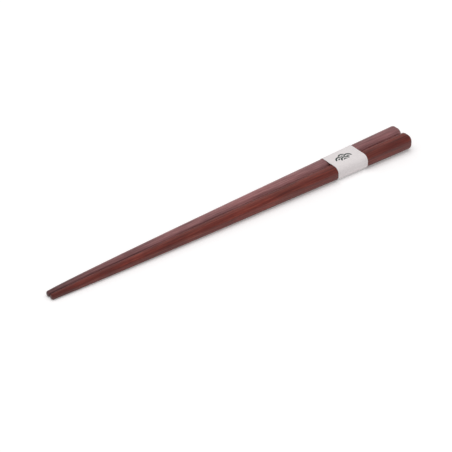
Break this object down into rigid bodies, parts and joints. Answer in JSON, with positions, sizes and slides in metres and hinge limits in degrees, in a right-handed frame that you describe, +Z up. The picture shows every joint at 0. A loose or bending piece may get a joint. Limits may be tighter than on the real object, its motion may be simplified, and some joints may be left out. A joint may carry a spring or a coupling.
{
  "type": "pair of chopsticks",
  "caption": "Lacquered wooden chopsticks with rounded square handles that taper to round tips, held side by side by a paper band.",
  "frame": {"origin": "on the surface that the pair lies on, under the middle of its box", "axes": "+X along the sticks from the tips to the butts, +Y across the pair to the far stick, +Z up from the surface"},
  "size_m": [0.225, 0.0166, 0.0087],
  "materials": {
    "lacquer": "semi-gloss",
    "paper": "matte"
  },
  "bodies": {
    "root": {"chopstick_far": "lacquer", "chopstick_near": "lacquer", "paper_band": "paper"}
  },
  "joints": []
}
